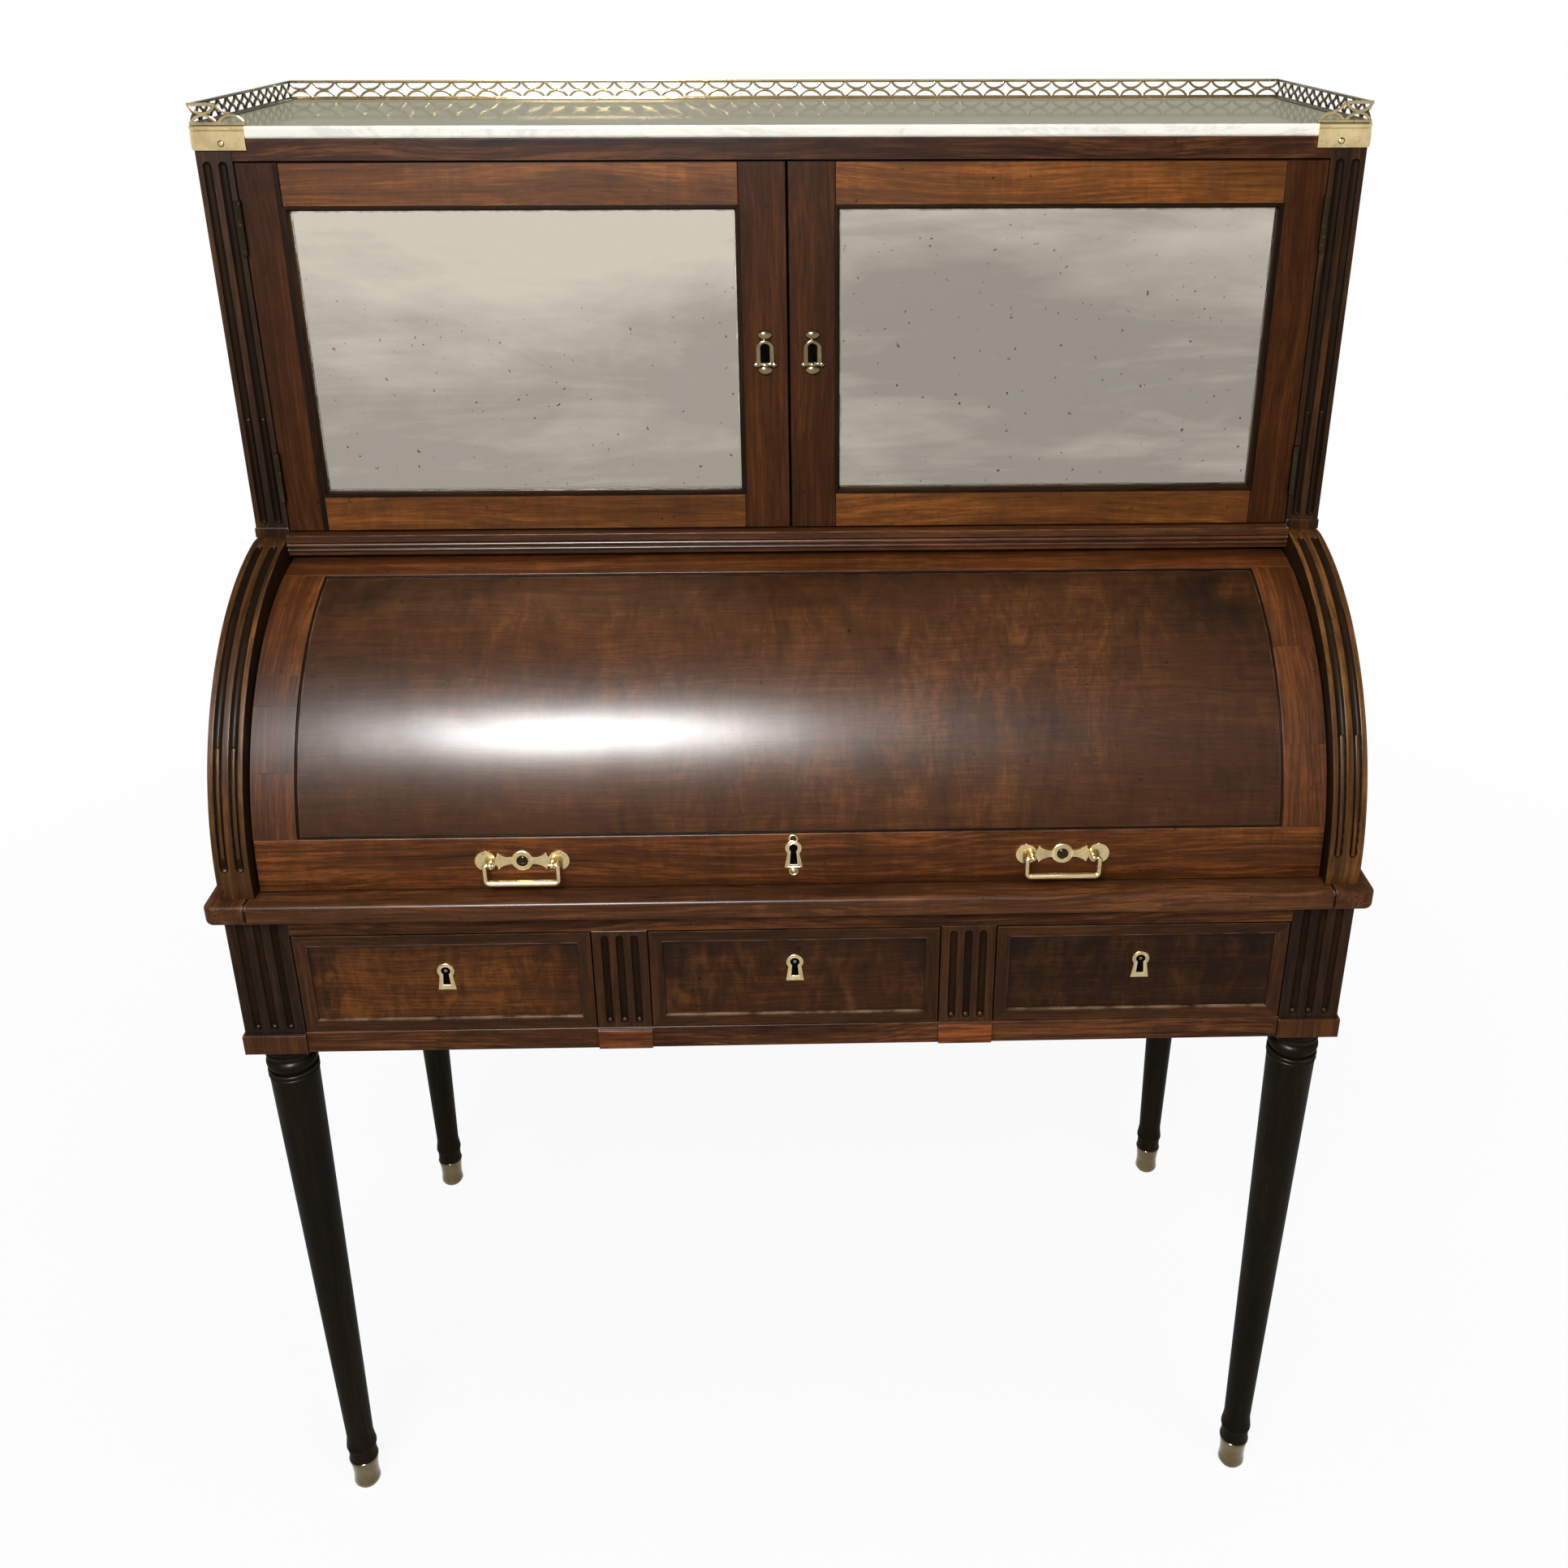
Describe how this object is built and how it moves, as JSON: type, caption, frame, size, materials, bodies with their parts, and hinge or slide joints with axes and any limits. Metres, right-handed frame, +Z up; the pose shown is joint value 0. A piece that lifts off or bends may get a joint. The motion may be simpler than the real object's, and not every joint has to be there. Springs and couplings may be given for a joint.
{
  "type": "cylinder desk",
  "caption": "Cylinder desk with a quarter-round fall over a writing slide, frieze drawers on turned tapering legs and a mirror-door cabinet under a galleried marble top.",
  "frame": {"origin": "on the floor, mid-way across the width and the depth", "axes": "+X to the right as a sitter faces the desk, +Y to the back, +Z up"},
  "size_m": [1.012, 0.502, 1.3895],
  "materials": {
    "mahogany": "french polish",
    "oak": "bare",
    "brass": "aged",
    "leather": "satin",
    "marble": "polished",
    "mirror": "aged silver",
    "steel": "turned"
  },
  "bodies": {
    "case": {"back_apron": "oak", "cabinet_back": "oak", "cabinet_floor": "oak", "cabinet_shelf": "oak", "cabinet_side_left": "mahogany", "cabinet_side_right": "mahogany", "cabinet_top": "mahogany", "case_back": "oak", "case_side_left": "mahogany", "case_side_right": "mahogany", "drawer_dividers": "mahogany", "front_lower_rail": "mahogany", "front_upper_rail": "mahogany", "gallery": "brass", "hinge_leaves": "brass", "leg_back_left": "mahogany", "leg_back_right": "mahogany", "leg_front_left": "mahogany", "leg_front_right": "mahogany", "leg_shoes": "brass", "marble_top": "marble", "moulded_rail": "mahogany", "nest_case": "mahogany", "pivot_pins": "steel", "rear_bed": "mahogany", "runner_board": "oak", "side_aprons": "mahogany", "slide_bed": "oak", "top_side_left": "mahogany", "top_side_right": "mahogany"},
    "drawer_left": {"drawer_left_front": "mahogany", "drawer_left_box": "oak", "drawer_left_fittings": "brass"},
    "drawer_centre": {"drawer_centre_front": "mahogany", "drawer_centre_box": "oak", "drawer_centre_fittings": "brass"},
    "drawer_right": {"drawer_right_front": "mahogany", "drawer_right_box": "oak", "drawer_right_fittings": "brass"},
    "slide": {"writing_slide": "mahogany", "writing_leather": "leather"},
    "fall": {"fall_frame": "mahogany", "fall_panel": "mahogany", "fall_sectors": "oak", "fall_fittings": "brass", "handle_plates": "brass"},
    "bail_left": {"bail_left": "brass"},
    "bail_right": {"bail_right": "brass"},
    "nest_drawer_left": {"nest_drawer_left": "mahogany"},
    "nest_drawer_centre": {"nest_drawer_centre": "mahogany"},
    "nest_drawer_right": {"nest_drawer_right": "mahogany"},
    "door_left": {"door_left_frame": "mahogany", "door_left_mirror": "mirror", "door_left_backing": "oak", "door_left_fittings": "brass"},
    "door_right": {"door_right_frame": "mahogany", "door_right_mirror": "mirror", "door_right_backing": "oak", "door_right_fittings": "brass"}
  },
  "joints": [
    {"name": "drawer_left_slide", "type": "slide", "parent": "case", "child": "drawer_left", "axis": [0, -1, 0], "range_m": [0, 0.26]},
    {"name": "drawer_centre_slide", "type": "slide", "parent": "case", "child": "drawer_centre", "axis": [0, -1, 0], "range_m": [0, 0.26]},
    {"name": "drawer_right_slide", "type": "slide", "parent": "case", "child": "drawer_right", "axis": [0, -1, 0], "range_m": [0, 0.26]},
    {"name": "writing_slide_pull", "type": "slide", "parent": "case", "child": "slide", "axis": [0, -1, 0], "range_m": [0, 0.18]},
    {"name": "fall_turn", "type": "hinge", "parent": "case", "child": "fall", "pos_m": [0, -0.006, 0.767], "axis": [-1, 0, 0], "range_deg": [0, 72]},
    {"name": "bail_left_swing", "type": "hinge", "parent": "fall", "child": "bail_left", "pos_m": [-0.234, -0.2357, 0.7846], "axis": [-1, 0, 0], "range_deg": [0, 85]},
    {"name": "bail_right_swing", "type": "hinge", "parent": "fall", "child": "bail_right", "pos_m": [0.234, -0.2357, 0.7846], "axis": [-1, 0, 0], "range_deg": [0, 85]},
    {"name": "nest_drawer_left_slide", "type": "slide", "parent": "case", "child": "nest_drawer_left", "axis": [0, -1, 0], "range_m": [0, 0.11]},
    {"name": "nest_drawer_centre_slide", "type": "slide", "parent": "case", "child": "nest_drawer_centre", "axis": [0, -1, 0], "range_m": [0, 0.11]},
    {"name": "nest_drawer_right_slide", "type": "slide", "parent": "case", "child": "nest_drawer_right", "axis": [0, -1, 0], "range_m": [0, 0.11]},
    {"name": "door_left_swing", "type": "hinge", "parent": "case", "child": "door_left", "pos_m": [-0.4637, -0.0253, 1.178], "axis": [0, 0, -1], "range_deg": [0, 105]},
    {"name": "door_right_swing", "type": "hinge", "parent": "case", "child": "door_right", "pos_m": [0.4637, -0.0253, 1.178], "axis": [0, 0, 1], "range_deg": [0, 105]}
  ]
}
